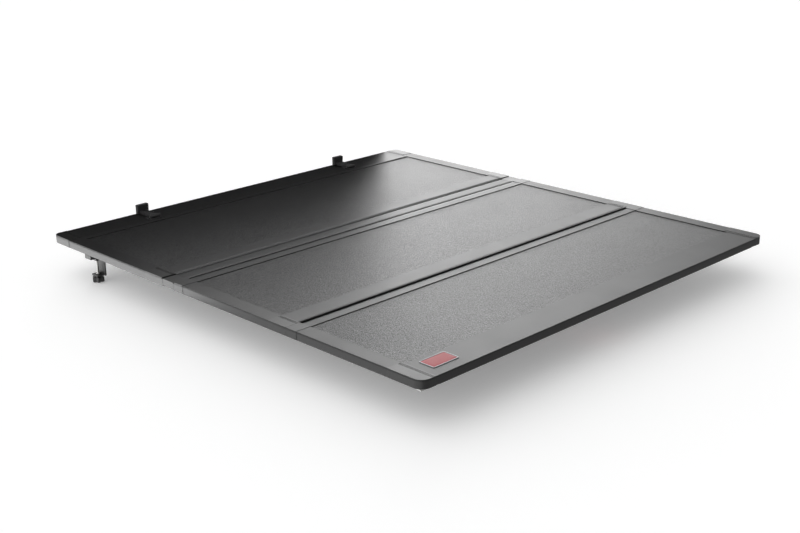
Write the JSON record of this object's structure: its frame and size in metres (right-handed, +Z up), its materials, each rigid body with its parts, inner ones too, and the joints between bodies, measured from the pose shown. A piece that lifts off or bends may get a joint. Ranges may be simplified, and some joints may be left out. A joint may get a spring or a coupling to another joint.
{
  "type": "tonneau cover",
  "caption": "Hard tri-fold pickup bed cover: framed sandwich panels on full-width hinges, with stow hooks, screw clamps under the front panel and a rod latch at the rear.",
  "frame": {"origin": "on the underside of the front seal, on the centre line, 20 mm behind the cover's front edge", "axes": "+X to the vehicle's right, +Y forward towards the cab, +Z up; z = 0 is the top of the bed rails"},
  "size_m": [1.67, 1.78, 0.18],
  "materials": {
    "textured_skin": "fine pebble-textured matte black composite skin with a soft sheen at low angles",
    "foam_core": "rigid closed-cell foam core, cut",
    "lower_skin": "smooth dark grey composite liner",
    "black_rail": "satin black powder coat on extruded aluminium",
    "black_steel": "black powder coat on steel",
    "black_nylon": "moulded glass-filled nylon, fine texture",
    "seal_rubber": "extruded black rubber",
    "zinc_steel": "zinc plated steel",
    "bare_aluminium": "mill finish aluminium",
    "handle_red": "moulded red nylon",
    "badge": "blank domed emblem with a bright rim"
  },
  "bodies": {
    "front_panel": {"front_panel_skin": "textured_skin", "front_panel_core": "foam_core", "front_panel_liner": "lower_skin", "front_header_rail": "black_rail", "front_panel_rear_rail": "black_rail", "front_panel_left_rail": "black_rail", "front_panel_right_rail": "black_rail", "front_left_corner": "black_nylon", "front_right_corner": "black_nylon", "front_panel_rear_left_corner": "black_nylon", "front_panel_rear_right_corner": "black_nylon", "front_seal": "seal_rubber", "front_panel_side_seals": "seal_rubber", "front_panel_screws": "zinc_steel", "stow_hook_bases": "black_nylon", "stow_hook_pins": "zinc_steel", "front_clamp_brackets": "black_steel"},
    "hinge_link": {"hinge_link": "black_rail", "hinge_link_end_caps": "black_nylon"},
    "middle_panel": {"middle_panel_skin": "textured_skin", "middle_panel_core": "foam_core", "middle_panel_liner": "lower_skin", "middle_panel_front_rail": "black_rail", "middle_panel_rear_rail": "black_rail", "middle_panel_left_rail": "black_rail", "middle_panel_right_rail": "black_rail", "middle_panel_front_caps": "black_nylon", "middle_panel_rear_left_corner": "black_nylon", "middle_panel_rear_right_corner": "black_nylon", "middle_panel_side_seals": "seal_rubber", "middle_panel_screws": "zinc_steel", "rear_hinge_pin": "zinc_steel"},
    "rear_panel": {"rear_panel_skin": "textured_skin", "rear_panel_core": "foam_core", "rear_panel_liner": "lower_skin", "rear_panel_front_rail": "black_rail", "tail_rail": "black_rail", "rear_panel_left_rail": "black_rail", "rear_panel_right_rail": "black_rail", "rear_panel_front_caps": "black_nylon", "rear_left_corner": "black_nylon", "rear_right_corner": "black_nylon", "rear_seal": "seal_rubber", "rear_panel_side_seals": "seal_rubber", "rear_panel_screws": "zinc_steel", "badge": "badge", "release_bracket": "bare_aluminium", "latch_rod_guides": "black_nylon", "release_spring": "zinc_steel"},
    "left_stow_hook": {"left_stow_hook": "black_nylon", "left_hook_pad": "seal_rubber"},
    "right_stow_hook": {"right_stow_hook": "black_nylon", "right_hook_pad": "seal_rubber"},
    "left_clamp_knob": {"left_clamp_knob": "black_nylon"},
    "left_clamp_jaw": {"left_clamp_jaw": "black_steel"},
    "right_clamp_knob": {"right_clamp_knob": "black_nylon"},
    "right_clamp_jaw": {"right_clamp_jaw": "black_steel"},
    "release_handle": {"release_handle": "handle_red"},
    "left_latch_rod": {"left_latch_rod": "zinc_steel"},
    "right_latch_rod": {"right_latch_rod": "zinc_steel"}
  },
  "joints": [
    {"name": "link_fold", "type": "hinge", "parent": "front_panel", "child": "hinge_link", "pos_m": [0, -0.632, 0.0255], "axis": [-1, 0, 0], "range_deg": [0, 90]},
    {"name": "middle_fold", "type": "hinge", "parent": "hinge_link", "child": "middle_panel", "pos_m": [0, -0.69, 0.0255], "axis": [-1, 0, 0], "range_deg": [0, 90]},
    {"name": "rear_fold", "type": "hinge", "parent": "middle_panel", "child": "rear_panel", "pos_m": [0, -1.228, 0.031], "axis": [-1, 0, 0], "range_deg": [0, 180]},
    {"name": "left_hook_swing", "type": "hinge", "parent": "front_panel", "child": "left_stow_hook", "pos_m": [-0.48, -0.076, 0.039], "axis": [1, 0, 0], "range_deg": [0, 90]},
    {"name": "right_hook_swing", "type": "hinge", "parent": "front_panel", "child": "right_stow_hook", "pos_m": [0.48, -0.076, 0.039], "axis": [1, 0, 0], "range_deg": [0, 90]},
    {"name": "left_knob_turn", "type": "hinge", "parent": "front_panel", "child": "left_clamp_knob", "pos_m": [-0.7802, -0.16, -0.1], "axis": [0, 0, 1], "range_deg": [0, 1800]},
    {"name": "left_jaw_slide", "type": "slide", "parent": "front_panel", "child": "left_clamp_jaw", "axis": [0, 0, -1], "range_m": [0, 0.01]},
    {"name": "right_knob_turn", "type": "hinge", "parent": "front_panel", "child": "right_clamp_knob", "pos_m": [0.7802, -0.16, -0.1], "axis": [0, 0, 1], "range_deg": [0, 1800]},
    {"name": "right_jaw_slide", "type": "slide", "parent": "front_panel", "child": "right_clamp_jaw", "axis": [0, 0, -1], "range_m": [0, 0.01]},
    {"name": "release_turn", "type": "hinge", "parent": "rear_panel", "child": "release_handle", "pos_m": [0, -1.703, 0], "axis": [0, 0, 1], "range_deg": [0, 35]},
    {"name": "left_rod_slide", "type": "slide", "parent": "rear_panel", "child": "left_latch_rod", "axis": [1, 0, 0], "range_m": [0, 0.01324]},
    {"name": "right_rod_slide", "type": "slide", "parent": "rear_panel", "child": "right_latch_rod", "axis": [-1, 0, 0], "range_m": [0, 0.01324]}
  ],
  "couplings": [
    {"joint": "middle_fold", "follows": "link_fold", "ratio": 1},
    {"joint": "left_jaw_slide", "follows": "left_knob_turn", "m_per_rad": 0.00031831},
    {"joint": "right_jaw_slide", "follows": "right_knob_turn", "m_per_rad": 0.00031831},
    {"joint": "left_rod_slide", "follows": "release_turn", "m_per_rad": 0.02166},
    {"joint": "right_rod_slide", "follows": "release_turn", "m_per_rad": 0.02166}
  ]
}
